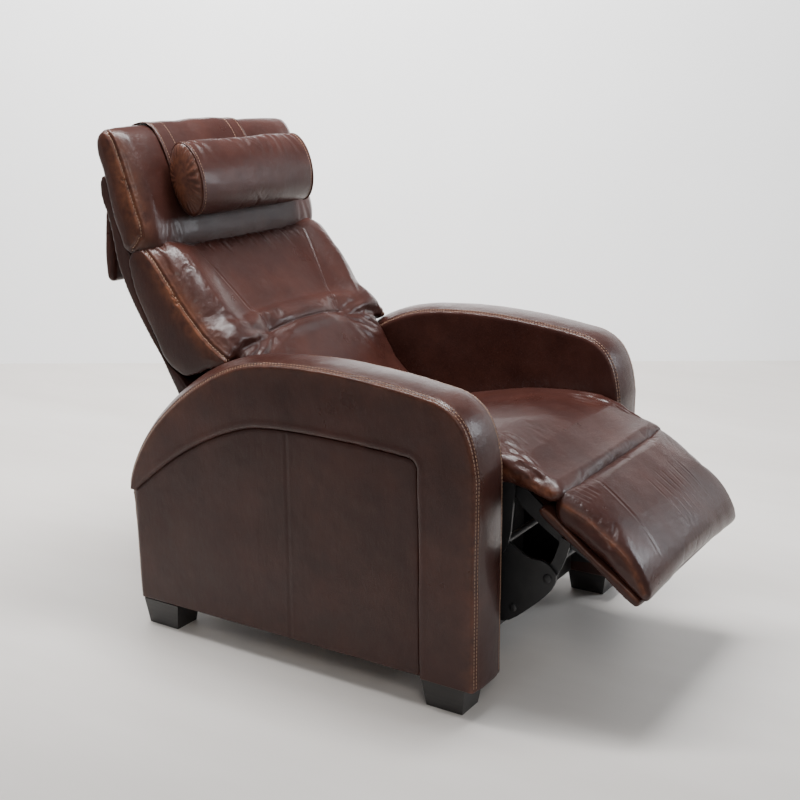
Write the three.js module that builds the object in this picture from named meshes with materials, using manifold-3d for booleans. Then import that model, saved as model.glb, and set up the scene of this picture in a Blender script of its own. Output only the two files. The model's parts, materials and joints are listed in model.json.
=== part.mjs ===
// Power recliner armchair, in millimetres. The chair faces -Y and +Z is up.
// Lengths along Y are first measured back from the fronts of the arms; the whole
// group is then shifted so that the middle of the chair sits over the origin.
// Right and left are the sitter's own: the sitter's right is at -X.
import * as THREE from 'three';
import Module from 'manifold-3d';
import { mergeVertices } from 'three/addons/utils/BufferGeometryUtils.js';

const wasm = await Module();
wasm.setup();

// ---- driving dimensions -------------------------------------------------
const FRONT_OFFSET = 407;      // from the arm fronts to the middle of the chair
const ARM_OUTER = 395;         // half the overall width
const ARM_INNER = 278;         // half the space between the arms
const ARM_BOTTOM = 61;
const FOOT_HEIGHT = 60.5;
const SEAT_HALF = 272;
const BOARD_HALF = 266;
const WING_HALF = 315;         // back above the arms
const WAIST_HALF = 268;        // back between the arms
const HEAD_HALF = 318;
const PILLOW_HALF = 205;
// The strap and its counterweight pouch hang a little to the right of the middle.
const STRAP_RIGHT = -205;
const STRAP_LEFT = 98;
const GAP = 0.4;               // between pieces that touch
const PIVOT_PLAY = 0.3;        // radius of a pivot hole over its shaft's

// pivots, as (distance behind the arm fronts, height)
const SEAT_PIVOT = [520, 250];
const LEG_PIVOT = [0, 448];
const BACK_PIVOT = [560, 380];
const LINK_PIVOT = [20, 320];
const LINK_JOINT = [-84, 268];
const TOGGLE_PIVOT = [-118, 354];
const LEG_CRANK = [-6, 392];
const BACK_CRANK = [575, 272];

const SEAT_SLOPE = Math.atan2(100, 510);   // the deck falls towards the back
const SIDES = [
  ['right', -1],
  ['left', 1],
];

// ---- materials ----------------------------------------------------------
const paint = (color, roughness, metalness = 0) =>
  new THREE.MeshStandardMaterial({ color, roughness, metalness });
const LEATHER = paint(0x4a2a26, 0.45);
const LEATHER_SIDE = paint(0x43231f, 0.5);
const WOOD = paint(0xb08a5c, 0.7);
const BLACK_WOOD = paint(0x171412, 0.45);
const BLACK_STEEL = paint(0x1b1c1e, 0.4, 0.7);
const BRIGHT_STEEL = paint(0xa8abb0, 0.3, 1);
const BLACK_PLASTIC = paint(0x1d1e20, 0.6);
const GREY_PLASTIC = paint(0x8d9094, 0.5);
const LINING = paint(0x18181a, 0.9);

const group = new THREE.Group();
group.position.y = -FRONT_OFFSET;

function add(name, geometry, material) {
  const mesh = new THREE.Mesh(geometry, material);
  mesh.name = name;
  group.add(mesh);
  return mesh;
}

// ---- drawing helpers ----------------------------------------------------
const points = (list) => list.map(([a, b]) => new THREE.Vector2(a, b));

// Outlines always run anticlockwise, so that holes can be cut in them.
function anticlockwise(ring) {
  if (THREE.ShapeUtils.isClockWise(ring)) ring.reverse();
  return new THREE.Shape(ring);
}

// A closed outline through corner points.
const outline = (list) => anticlockwise(points(list));

// A closed outline through points, rounded by a smooth curve between them.
function smoothOutline(list, samples = 40) {
  const curve = new THREE.CatmullRomCurve3(
    list.map(([a, b]) => new THREE.Vector3(a, b, 0)), true, 'centripetal');
  const ring = curve.getPoints(samples).slice(0, -1);
  return anticlockwise(ring.map((p) => new THREE.Vector2(p.x, p.y)));
}

// A band that follows a smooth line through points, from one offset to another.
function band(list, from, to, samples = 12) {
  const line = new THREE.SplineCurve(points(list));
  const near = [];
  const far = [];
  for (let i = 0; i <= samples; i += 1) {
    const t = i / samples;
    const p = line.getPoint(t);
    const d = line.getTangent(t);
    near.push(new THREE.Vector2(p.x - d.y * from, p.y + d.x * from));
    far.unshift(new THREE.Vector2(p.x - d.y * to, p.y + d.x * to));
  }
  return anticlockwise([...near, ...far]);
}

// The same outline with a round hole through it.
function drilled(shape, [y, z], radius, sides = 20) {
  const rim = [];
  for (let i = 0; i < sides; i += 1) {
    const a = -2 * Math.PI * i / sides;
    rim.push(new THREE.Vector2(y + radius * Math.cos(a), z + radius * Math.sin(a)));
  }
  shape.holes.push(new THREE.Path(rim));
  return shape;
}

// A side profile (Y across, Z up) carried along X from one side to the other.
function across(shape, x0, x1, round = 0, steps = 2, curve = 12) {
  const geometry = new THREE.ExtrudeGeometry(shape, {
    depth: x1 - x0 - 2 * round,
    curveSegments: curve,
    bevelEnabled: round > 0,
    bevelThickness: round,
    bevelSize: round,
    bevelOffset: -round,
    bevelSegments: steps,
  });
  const turn = new THREE.Matrix4().makeBasis(
    new THREE.Vector3(0, 1, 0), new THREE.Vector3(0, 0, 1), new THREE.Vector3(1, 0, 0));
  geometry.applyMatrix4(turn);
  geometry.translate(x0 + round, 0, 0);
  return geometry;
}

// The same on one side of the chair only: side is -1 (right) or 1 (left).
function sideways(shape, side, inner, outer, round = 0, steps = 2, curve = 12) {
  const [x0, x1] = side > 0 ? [inner, outer] : [-outer, -inner];
  return across(shape, x0, x1, round, steps, curve);
}

// A round bar along X.
function bar([y, z], radius, x0, x1, sides = 20) {
  const geometry = new THREE.CylinderGeometry(radius, radius, x1 - x0, sides);
  geometry.rotateZ(Math.PI / 2);
  geometry.translate((x0 + x1) / 2, y, z);
  return geometry;
}

function box(x0, x1, y0, y1, z0, z1) {
  const geometry = new THREE.BoxGeometry(x1 - x0, y1 - y0, z1 - z0);
  geometry.translate((x0 + x1) / 2, (y0 + y1) / 2, (z0 + z1) / 2);
  return geometry;
}

// ---- booleans -----------------------------------------------------------
function solid(geometry) {
  const bare = geometry.clone();
  bare.deleteAttribute('normal');
  bare.deleteAttribute('uv');
  const merged = mergeVertices(bare, 1e-4);
  return new wasm.Manifold(new wasm.Mesh({
    numProp: 3,
    vertProperties: new Float32Array(merged.attributes.position.array),
    triVerts: new Uint32Array(merged.index.array),
  }));
}

function geometryOf(manifold) {
  const mesh = manifold.getMesh();
  const geometry = new THREE.BufferGeometry();
  geometry.setAttribute('position', new THREE.BufferAttribute(mesh.vertProperties, 3));
  geometry.setIndex(new THREE.BufferAttribute(mesh.triVerts, 1));
  geometry.computeVertexNormals();
  return geometry;
}

function cut(body, ...tools) {
  let result = solid(body);
  for (const tool of tools) result = result.subtract(solid(tool));
  return geometryOf(result);
}

function join(...bodies) {
  let result = solid(bodies[0]);
  for (const body of bodies.slice(1)) result = result.add(solid(body));
  return geometryOf(result);
}

// ---- arms ---------------------------------------------------------------
function armOutline() {
  const shape = new THREE.Shape();
  shape.moveTo(0, ARM_BOTTOM);
  shape.lineTo(0, 500);
  shape.bezierCurveTo(9, 564, 20, 620, 90, 638);
  shape.bezierCurveTo(204, 658, 468, 690, 600, 624);
  shape.bezierCurveTo(700, 570, 835, 465, 880, 334);
  shape.lineTo(875, ARM_BOTTOM);
  return shape;
}

function armCoreOutline(inset) {
  const shape = new THREE.Shape();
  shape.moveTo(inset, ARM_BOTTOM);
  shape.lineTo(inset, 500);
  shape.bezierCurveTo(45, 570, 70, 600 - inset / 4, 110, 636 - inset);
  shape.bezierCurveTo(230, 645 - inset, 460, 672 - inset, 590, 615 - inset);
  shape.bezierCurveTo(680, 570 - inset, 800, 470 - inset, 880 - inset, 330);
  shape.lineTo(875 - inset, ARM_BOTTOM);
  return shape;
}

// The flat panel on the outside of an arm, framed by the raised front and top bands.
// grow widens it all round; rearEdge is where it ends at the back, from the top down.
function outerPanelOutline(grow, rearEdge) {
  const shape = new THREE.Shape();
  shape.moveTo(120 - grow, ARM_BOTTOM + 3 - grow);
  shape.lineTo(123 - grow, 381);
  shape.lineTo(126 - grow, 500 + grow);
  shape.bezierCurveTo(127, 516 + grow, 136, 519 + grow, 150, 520 + grow);
  shape.bezierCurveTo(280, 530 + grow, 420, 534 + grow, 522, 523 + grow);
  shape.bezierCurveTo(600, 505 + grow, 760, 410 + grow, 869, 327 + grow);
  for (const [y, z] of rearEdge) shape.lineTo(y, z);
  return shape;
}

function arm(label, side) {
  const skin = sideways(armOutline(), side, ARM_INNER, ARM_OUTER, 14, 2, 8);
  const hollow = sideways(armCoreOutline(34), side, 316, 357, 0, 1, 6);
  hollow.translate(0, 0, -1);
  const opening = outerPanelOutline(0.4, [[890, 310], [890, ARM_BOTTOM + 2]]);
  const panel = outerPanelOutline(0, [[876, 300], [872, ARM_BOTTOM + 3]]);
  const recess = sideways(opening, side, ARM_OUTER - 14.4, ARM_OUTER + 5, 0, 1, 8);
  add(`${label}_arm_cover`, cut(skin, hollow, recess), LEATHER);
  add(`${label}_arm_frame`, sideways(armCoreOutline(40), side, 321.5, 351.5, 0, 1, 6), WOOD);
  add(`${label}_outer_panel`,
    sideways(panel, side, ARM_OUTER - 14, ARM_OUTER - 4, 3, 2, 8), LEATHER_SIDE);
}

// A square foot that narrows downwards.
function foot(side, centreY) {
  const half = Math.SQRT1_2;
  const geometry = new THREE.CylinderGeometry(half, half * 0.82, FOOT_HEIGHT, 4);
  geometry.rotateX(Math.PI / 2);
  geometry.rotateZ(Math.PI / 4);
  geometry.scale(78, 101, 1);
  geometry.translate(side * 345.5, centreY, FOOT_HEIGHT / 2);
  return geometry;
}

// ---- fixed base ---------------------------------------------------------
function basePlate() {
  const shape = outline([
    [34, 96], [34, 170], [60, 190], [430, 226], [500, 268], [540, 268],
    [575, 226], [790, 190], [796, 96], [700, 84], [130, 84],
  ]);
  return drilled(shape, SEAT_PIVOT, 8 + PIVOT_PLAY);
}

function base() {
  for (const [label, side] of SIDES) {
    arm(label, side);
    add(`${label}_front_foot`, foot(side, 71), BLACK_WOOD);
    add(`${label}_rear_foot`, foot(side, 817), BLACK_WOOD);
    add(`${label}_base_plate`, sideways(basePlate(), side, 270.5, ARM_INNER - GAP), BLACK_STEEL);
  }
  const inside = 270;
  add('front_rail', box(-inside, inside, 96, 118, 66, 106), BLACK_WOOD);
  add('rear_rail', box(-inside, inside, 770, 794, 66, 126), BLACK_WOOD);
  add('seat_pivot_shaft', bar(SEAT_PIVOT, 8, -276, 276), BRIGHT_STEEL);
  add('rear_panel', across(rearPanelOutline(), -277.4, 277.4, 4), LEATHER_SIDE);
  add('dust_cover', across(dustCoverOutline(), -269.6, 269.6), LINING);
  add('control_box', box(90, 230, 706, 769, 132, 172), BLACK_PLASTIC);
  add('power_inlet', powerInlet(), BLACK_PLASTIC);
}

// Black cloth stretched under the chair, turned up behind the legrest linkage.
const dustCoverOutline = () => outline([
  [119, 62], [769, 62], [769, 64], [227, 64], [227, 240], [225, 240], [225, 64], [119, 64],
]);

const rearPanelOutline = () => outline([
  [846, 66], [846, 296], [852, 306], [862, 306], [866, 296], [866, 66],
]);

// A small socket body on the rear panel; the socket itself opens backwards.
function powerInlet() {
  const body = box(-182, -138, 866.5, 884.5, 104, 134);
  const socket = box(-172, -148, 872, 890, 112, 126);
  return cut(body, socket);
}

// ---- hand switch --------------------------------------------------------
const BUTTON_ROWS = [['upper', 592], ['lower', 564]];
const BUTTON_COLUMNS = [['front', 176], ['rear', 206]];

function handSwitch() {
  const plate = smoothOutline([
    [160, 556], [166, 548], [216, 548], [222, 556], [222, 600], [216, 608], [166, 608], [160, 600],
  ], 32);
  for (const [column, y] of BUTTON_COLUMNS) {
    for (const [level, z] of BUTTON_ROWS) {
      drilled(plate, [y, z], 8.6);
      add(`${column}_${level}_button`, bar([y, z], 8, -275, -270.6), BLACK_PLASTIC);
    }
  }
  add('switch_plate', across(plate, -277.6, -272.6), GREY_PLASTIC);
}

// ---- seat ---------------------------------------------------------------
// The deck line, at a given distance behind the arm fronts.
const deckHeight = (y) => 425 - (y - 10) * Math.tan(SEAT_SLOPE);

function seatPlate() {
  const shape = outline([
    [-13, 444], [-12, 454], [-5, 461], [5, 461], [12, 454], [15, 440], [16, deckHeight(16) - 16],
    [300, deckHeight(300) - 16], [500, deckHeight(500) - 16], [540, 330], [545, 388], [553, 396],
    [567, 396], [576, 388], [577, 372], [566, 320], [545, 240], [534, 230], [506, 230],
    [490, 244], [300, 286], [60, 300], [30, 302], [10, 306], [2, 320], [-6, 350],
  ]);
  drilled(shape, SEAT_PIVOT, 8 + PIVOT_PLAY);
  return shape;
}

function seatCushionOutline() {
  return outline([
    [24, deckHeight(24) + 1], [22, 500], [34, 512], [69, 517], [143, 515], [247, 496], [360, 470],
    [440, 450], [470, 440], [476, 425], [474, deckHeight(474) + 1],
  ]);
}

function kneeFlapOutline() {
  return outline([
    [18, 470], [18, 508], [0, 503], [-40, 482], [-72, 467], [-99, 459], [-101, 440], [-78, 441],
    [-37, 454],
  ]);
}

function seat() {
  for (const [label, side] of SIDES) {
    add(`${label}_seat_plate`, sideways(seatPlate(), side, 248, 254), BLACK_STEEL);
  }
  const between = 247.6;
  add('legrest_hinge_shaft', bar(LEG_PIVOT, 6, -between, between), BLACK_STEEL);
  add('link_pivot_shaft', bar(LINK_PIVOT, 7, -between, between), BLACK_STEEL);
  add('back_hinge_shaft', bar(BACK_PIVOT, 8, -between, between), BRIGHT_STEEL);
  add('seat_cross_tube', bar([430, 300], 10, -between, between), BLACK_STEEL);
  const deck = outline([
    [60, deckHeight(60)], [490, deckHeight(490)], [490, deckHeight(490) - 14], [60, deckHeight(60) - 14],
  ]);
  add('seat_deck', across(deck, -262, 262), WOOD);
  add('seat_cushion', across(seatCushionOutline(), -SEAT_HALF, SEAT_HALF, 12, 3), LEATHER);
  add('knee_flap', across(kneeFlapOutline(), -SEAT_HALF, SEAT_HALF, 3, 1), LEATHER);
}

// ---- linear drives ------------------------------------------------------
// A drive housing along +Y from 0, closed at the far end, with a motor under it.
function driveHousing(length, hangsAt) {
  const tube = new THREE.CylinderGeometry(17, 17, length, 20);
  tube.translate(0, length / 2, 0);
  const bore = new THREE.CylinderGeometry(7.5, 7.5, length - 16, 20);
  bore.translate(0, (length - 16) / 2 - 2, 0);
  const motor = new THREE.CylinderGeometry(18, 18, 60, 20);
  motor.rotateX(Math.PI / 2);
  motor.translate(0, hangsAt, -38);
  return cut(join(tube, motor), bore);
}

// The rod that slides in it, from an eye at 0 back along +Y.
function driveRod(length) {
  const rod = new THREE.CylinderGeometry(6, 6, length, 16);
  rod.translate(0, length / 2 + 5, 0);
  const eye = new THREE.CylinderGeometry(10, 10, 7, 20);
  eye.rotateZ(Math.PI / 2);
  return join(rod, eye);
}

// ---- legrest ------------------------------------------------------------
function legPadOutline() {
  return outline([
    [-103, 408.8], [-103, 446], [-110, 448], [-160, 427], [-208, 397], [-256, 358], [-284, 322],
    [-299, 292], [-299, 284], [-292, 279], [-286, 275.6],
  ]);
}

function legBracket(withCrank) {
  const front = [
    [0, 460], [-8, 457], [-62, 414], [-70, 406], [-170, 333], [-176, 322], [-168, 316],
    [-120, 340], [-104, 344], [-60, 372], [-22, 400],
  ];
  const crank = withCrank ? [[-16, 388], [-10, 382], [-5, 382], [-3, 387], [-5, 420], [1, 432]] : [];
  const shape = outline([...front, ...crank, [10, 440], [10, 454]]);
  return drilled(shape, LEG_PIVOT, 6 + PIVOT_PLAY);
}

function legrest() {
  const board = outline([[-80, 424], [-286, 274], [-284, 264], [-276, 259], [-69, 410], [-71, 418]]);
  add('legrest_board', across(board, -BOARD_HALF, BOARD_HALF, 2, 1), LEATHER_SIDE);
  add('legrest_pad', across(legPadOutline(), -BOARD_HALF, BOARD_HALF, 4, 2), LEATHER);
  for (const [label, side] of SIDES) {
    add(`${label}_leg_bracket`, sideways(legBracket(false), side, 225, 231), BLACK_STEEL);
  }
  add('leg_crank', across(legBracket(true), -72.4, -66.4), BLACK_STEEL);
  add('legrest_cross_tube', bar([-62, 388], 7, -66, 224.6), BLACK_STEEL);
}

// Curved front links and the short toggles that join them to the legrest.
function frontLinkOutline() {
  const shape = smoothOutline([
    [20, 336], [-10, 320], [-43, 303], [-76, 301], [-101, 279], [-96, 252], [-52, 202], [9, 156],
    [34, 160], [40, 200], [36, 300], [33, 330],
  ], 44);
  return drilled(shape, LINK_PIVOT, 7 + PIVOT_PLAY);
}

const toggleOutline = () => band([TOGGLE_PIVOT, [-104, 308], LINK_JOINT], -11, 11, 8);

function links() {
  for (const [label, side] of SIDES) {
    add(`${label}_front_link`, sideways(frontLinkOutline(), side, 237, 243), BLACK_STEEL);
    add(`${label}_leg_toggle`, sideways(toggleOutline(), side, 231.4, 236.6), BLACK_STEEL);
  }
  add('front_link_tube', bar([10, 200], 8, -236.6, 236.6), BLACK_STEEL);
}

function legDrive() {
  const place = (geometry, along) => {
    geometry.translate(0, along, 0);
    geometry.rotateX(-SEAT_SLOPE);
    geometry.translate(-60, LEG_CRANK[0], LEG_CRANK[1]);
    return geometry;
  };
  add('leg_drive_housing', place(driveHousing(270, 225), 150), BLACK_PLASTIC);
  add('leg_drive_rod', place(driveRod(285), 0), BRIGHT_STEEL);
}

// ---- back ---------------------------------------------------------------
const FRAME_LINE = [
  [600, 440], [650, 484], [720, 540], [800, 610], [866, 702], [902, 785], [914, 850], [942, 915],
  [956, 975], [962, 1000],
];

function backCushionOutline() {
  return outline([
    [646, 664], [636, 648], [640, 634], [660, 622], [700, 606], [777, 577], [811, 594.5], [828, 611],
    [881, 703], [916.5, 785], [921.5, 832], [912, 850], [880, 862], [852, 850], [802, 804], [756, 754],
    [712, 710], [676, 684],
  ]);
}

function waistOutline() {
  return outline([
    [497, 424], [500, 452], [522, 482], [560, 522], [606, 580], [640, 640], [680, 690], [760, 700],
    [800, 640], [780, 600], [708, 545], [640, 489], [592, 448], [576, 438], [556, 404], [520, 406],
  ]);
}

function headOutline() {
  return outline([
    [924, 858], [884, 866], [866, 882], [864, 900], [871, 945], [884, 1000], [905, 1056], [930, 1096],
    [958, 1114], [984, 1112], [998, 1092], [996, 1060], [986, 1024], [974, 1016], [969, 985],
    [954, 915], [930, 864],
  ]);
}

function shellOutline() {
  return outline([
    [780, 574], [813, 592], [830, 608], [883, 702], [919, 785], [924, 834], [932, 862], [956, 915],
    [971, 985], [975, 1006], [984, 1014], [995, 1012], [1002, 988], [998, 957], [986, 927],
    [977, 892], [964, 826], [949, 782], [923, 730], [885, 670], [847, 615], [816, 560], [808, 549],
  ]);
}

function backBracketOutline() {
  const shape = outline([
    [546, 376], [550, 366], [560, 362], [572, 366], [579, 380], [594, 412], [612, 434], [660, 480],
    [710, 522], [701, 532], [650, 493], [604, 453], [590, 440], [570, 410], [550, 392],
  ]);
  return drilled(shape, BACK_PIVOT, 8 + PIVOT_PLAY);
}

function backCrankOutline() {
  const shape = outline([
    [546, 376], [556, 360], [564, 300], [565, 268], [572, 262], [580, 262], [586, 270], [584, 320],
    [578, 370], [586, 396], [604, 426], [595, 436], [588, 436], [566, 404], [550, 392],
  ]);
  return drilled(shape, BACK_PIVOT, 8 + PIVOT_PLAY);
}

function back() {
  const pocket = across(band(FRAME_LINE, -60, 8.6, 16), -223, 223);
  pocket.translate(0, 0.1, 0.5);
  const wings = across(backCushionOutline(), -WING_HALF, WING_HALF, 10, 2);
  const waist = across(waistOutline(), -WAIST_HALF, WAIST_HALF, 6, 2);
  add('back_cushion', cut(join(wings, waist), pocket), LEATHER);
  add('head_cushion', cut(across(headOutline(), -HEAD_HALF, HEAD_HALF, 7, 2), pocket), LEATHER);
  add('back_frame', across(band(FRAME_LINE, -7, 7, 16), -222, 222), WOOD);
  add('back_shell', across(shellOutline(), -WING_HALF + 3, WING_HALF - 3, 2, 1), LEATHER_SIDE);
  const lower = band([[618, 432], [660, 468], [716, 512], [782, 562]], -18, -8, 8);
  add('back_lower_cover', across(lower, -WAIST_HALF, WAIST_HALF), LINING);
  for (const [label, side] of SIDES) {
    add(`${label}_back_bracket`, sideways(backBracketOutline(), side, 225, 231), BLACK_STEEL);
  }
  add('back_crank', across(backCrankOutline(), 66.4, 72.4), BLACK_STEEL);
}

function backDrive() {
  const housing = driveHousing(250, 40);
  housing.rotateZ(Math.PI);
  housing.translate(60, 490, BACK_CRANK[1]);
  const rod = driveRod(235);
  rod.rotateZ(Math.PI);
  rod.translate(60, BACK_CRANK[0], BACK_CRANK[1]);
  add('back_drive_housing', housing, BLACK_PLASTIC);
  add('back_drive_rod', rod, BRIGHT_STEEL);
}

// ---- neck pillow on its strap -------------------------------------------
function pillowOutline() {
  const lean = 14 * Math.PI / 180;
  const ring = [];
  for (let i = 0; i < 20; i += 1) {
    const a = i / 20 * Math.PI * 2;
    const thick = 47 * Math.cos(a);
    const tall = 84 * Math.sin(a);
    ring.push([
      826 + thick * Math.cos(lean) + tall * Math.sin(lean),
      1002 - thick * Math.sin(lean) + tall * Math.cos(lean),
    ]);
  }
  return outline(ring);
}

function pillow() {
  add('neck_pillow', across(pillowOutline(), -PILLOW_HALF, PILLOW_HALF, 26, 3), LEATHER);
  const front = band([
    [880, 1012], [888, 1030], [899, 1056], [912, 1078], [927, 1101], [946, 1119], [968, 1124],
  ], -1.5, 1.5, 14);
  add('strap_front', across(front, STRAP_RIGHT, STRAP_LEFT), LEATHER);
  const rear = band([[971, 1124], [996, 1118], [1016, 1100], [1036, 1060], [1062, 1000], [1084, 930]],
    -1.5, 1.5, 12);
  add('strap_rear', across(rear, STRAP_RIGHT, STRAP_LEFT), LEATHER);
  const pouch = smoothOutline([
    [1080, 925], [1090, 928], [1100, 924], [1110, 860], [1112, 790], [1108, 752], [1096, 746],
    [1086, 752], [1080, 790], [1078, 860],
  ], 28);
  add('counterweight_pouch', across(pouch, STRAP_RIGHT, STRAP_LEFT, 3, 1), LEATHER);
}

base();
handSwitch();
seat();
legrest();
links();
legDrive();
back();
backDrive();
pillow();

export default group;
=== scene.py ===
# Power recliner armchair in worn brown leather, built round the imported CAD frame.
# Lengths are millimetres, measured back from the arm fronts (y) and up from the floor (z), as
# in the CAD model; at() turns them into the frame's metres.
import json
import math

import bmesh
import bpy
import numpy as np
from mathutils import Matrix, Vector
from mathutils.bvhtree import BVHTree
from mathutils.noise import noise


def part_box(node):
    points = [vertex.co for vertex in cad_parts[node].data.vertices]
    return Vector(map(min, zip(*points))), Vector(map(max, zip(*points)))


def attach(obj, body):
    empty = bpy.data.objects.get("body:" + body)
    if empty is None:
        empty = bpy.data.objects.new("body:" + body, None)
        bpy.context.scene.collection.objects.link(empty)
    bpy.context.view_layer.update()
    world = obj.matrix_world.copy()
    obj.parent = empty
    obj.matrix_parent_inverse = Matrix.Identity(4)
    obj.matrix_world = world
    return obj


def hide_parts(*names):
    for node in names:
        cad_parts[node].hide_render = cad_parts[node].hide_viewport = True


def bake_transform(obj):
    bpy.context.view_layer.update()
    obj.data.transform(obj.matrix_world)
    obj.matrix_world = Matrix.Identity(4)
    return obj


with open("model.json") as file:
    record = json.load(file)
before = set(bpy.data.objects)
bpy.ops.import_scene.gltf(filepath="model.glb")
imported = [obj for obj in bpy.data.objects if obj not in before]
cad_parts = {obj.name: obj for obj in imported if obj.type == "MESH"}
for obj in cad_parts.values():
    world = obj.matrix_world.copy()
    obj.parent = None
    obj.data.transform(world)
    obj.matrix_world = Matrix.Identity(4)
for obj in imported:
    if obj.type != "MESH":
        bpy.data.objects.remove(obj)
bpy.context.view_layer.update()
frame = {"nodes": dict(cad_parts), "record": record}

FRONT = 407.0          # arm fronts to the frame's origin
ARM_OUTER = 395.0
ARM_INNER = 278.0
ARM_BOTTOM = 61.0
SEAT_HALF = 270.0
BOARD_HALF = 266.0
WING_HALF = 315.0
WAIST_HALF = 268.0
HEAD_HALF = 318.0
PILLOW_HALF = 205.0
STRAP_MIDDLE = -53.5
STRAP_HALF = 151.5
ARM_CROWN = 8.0        # how far an arm's leather bulges over its seams
ARM_REAR_CROWN = 18.0  # and how much further over the rear top
PANEL_DEPTH = 10.0     # how far the outer panel lies below the band round it
TUFT_X, TUFT_Y, TUFT_Z = 135, 690, 650
SIDES = (("right", -1), ("left", 1))
NODES = frame["nodes"]


def at(x, y, z):
    """A place on the chair, as a point of the frame."""
    return Vector((x / 1000.0, (y - FRONT) / 1000.0, z / 1000.0))


# ---- lines and rings ------------------------------------------------------
def spline(points, count, closed=False):
    """Evenly spaced points on a smooth line through some points."""
    pts = np.array(points, float)
    n = len(pts)
    spans = n if closed else n - 1
    fine = []
    for i in range(spans):
        if closed:
            p0, p1, p2, p3 = (pts[(i + k - 1) % n] for k in range(4))
        else:
            p0, p1, p2, p3 = (pts[min(max(i + k - 1, 0), n - 1)] for k in range(4))
        t0, t1 = 0.0, max(np.linalg.norm(p1 - p0), 1e-6) ** 0.5
        t2 = t1 + max(np.linalg.norm(p2 - p1), 1e-6) ** 0.5
        t3 = t2 + max(np.linalg.norm(p3 - p2), 1e-6) ** 0.5
        if not closed and i == 0:
            t0 = t1 - (t2 - t1)
            p0 = 2 * p1 - p2
        if not closed and i == spans - 1:
            t3 = t2 + (t2 - t1)
            p3 = 2 * p2 - p1
        for t in np.linspace(t1, t2, 16, endpoint=False):
            a1 = (t1 - t) / (t1 - t0) * p0 + (t - t0) / (t1 - t0) * p1
            a2 = (t2 - t) / (t2 - t1) * p1 + (t - t1) / (t2 - t1) * p2
            a3 = (t3 - t) / (t3 - t2) * p2 + (t - t2) / (t3 - t2) * p3
            b1 = (t2 - t) / (t2 - t0) * a1 + (t - t0) / (t2 - t0) * a2
            b2 = (t3 - t) / (t3 - t1) * a2 + (t - t1) / (t3 - t1) * a3
            fine.append((t2 - t) / (t2 - t1) * b1 + (t - t1) / (t2 - t1) * b2)
    fine.append(pts[0] if closed else pts[-1])
    return resample(np.array(fine), count, closed)


def angles(count):
    return [2 * math.pi * k / count for k in range(count)]


def resample(line, count, closed=False):
    """The same line with evenly spaced points."""
    steps = np.linalg.norm(np.diff(line, axis=0), axis=1)
    run = np.concatenate([[0], np.cumsum(steps)])
    want = np.linspace(0, run[-1], count, endpoint=not closed)
    return np.stack([np.interp(want, run, line[:, k]) for k in range(line.shape[1])], axis=1)


def ring_normals(ring):
    """Outward unit normals of a closed ring of (y, z) points."""
    d = np.roll(ring, -1, axis=0) - np.roll(ring, 1, axis=0)
    d /= np.maximum(np.linalg.norm(d, axis=1, keepdims=True), 1e-9)
    out = np.stack([d[:, 1], -d[:, 0]], axis=1)
    area = np.sum(ring[:, 0] * np.roll(ring[:, 1], -1) - np.roll(ring[:, 0], -1) * ring[:, 1])
    return out if area > 0 else -out


# ---- meshes ---------------------------------------------------------------
def mesh_object(name, verts, faces, smooth=True):
    mesh = bpy.data.meshes.new(name)
    mesh.from_pydata([tuple(v) for v in verts], [], faces)
    mesh.validate()
    bm = bmesh.new()
    bm.from_mesh(mesh)
    bmesh.ops.recalc_face_normals(bm, faces=bm.faces)
    bm.to_mesh(mesh)
    bm.free()
    if smooth:
        mesh.polygons.foreach_set("use_smooth", [True] * len(mesh.polygons))
    obj = bpy.data.objects.new(name, mesh)
    bpy.context.scene.collection.objects.link(obj)
    return obj


def tube_faces(first, count, sides):
    """The faces over a count of rings, closed at both ends, from point number first on."""
    faces = []
    for a in range(first, first + (count - 1) * sides, sides):
        for k in range(sides):
            j = (k + 1) % sides
            faces.append((a + k, a + j, a + sides + j, a + sides + k))
    last = first + (count - 1) * sides
    faces.append(tuple(range(first + sides - 1, first - 1, -1)))
    faces.append(tuple(range(last, last + sides)))
    return faces


def loft(name, rings):
    """A closed skin over rings of the same number of points, in frame metres."""
    verts = [v for ring in rings for v in ring]
    return mesh_object(name, verts, tube_faces(0, len(rings), len(rings[0])))


def coords(obj):
    co = np.empty(len(obj.data.vertices) * 3)
    obj.data.vertices.foreach_get("co", co)
    return co.reshape(-1, 3)


def set_coords(obj, co):
    obj.data.vertices.foreach_set("co", co.ravel())
    obj.data.update()


def normals(obj):
    no = np.empty(len(obj.data.vertices) * 3)
    obj.data.vertex_normals.foreach_get("vector", no)
    return no.reshape(-1, 3)


def apply(obj, kind, **settings):
    """Adds one modifier and keeps its result as the object's mesh."""
    mod = obj.modifiers.new(kind, kind)
    for key, value in settings.items():
        setattr(mod, key, value)
    deps = bpy.context.evaluated_depsgraph_get()
    mesh = bpy.data.meshes.new_from_object(obj.evaluated_get(deps))
    obj.modifiers.clear()
    old = obj.data
    obj.data = mesh
    bpy.data.meshes.remove(old)
    obj.data.polygons.foreach_set("use_smooth", [True] * len(obj.data.polygons))


def join(name, *objs):
    """Several closed meshes as one object, overlapping."""
    bm = bmesh.new()
    for o in objs:
        bm.from_mesh(o.data)
    mesh = bpy.data.meshes.new(name)
    bm.to_mesh(mesh)
    bm.free()
    out = bpy.data.objects.new(name, mesh)
    bpy.context.scene.collection.objects.link(out)
    for o in objs:
        bpy.data.objects.remove(o)
    return out


def remesh(obj, size, passes):
    """Makes an even mesh of cells of a size in millimetres, and smooths it."""
    apply(obj, "REMESH", mode="VOXEL", voxel_size=size / 1000.0)
    apply(obj, "SMOOTH", factor=0.5, iterations=passes)


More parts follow.
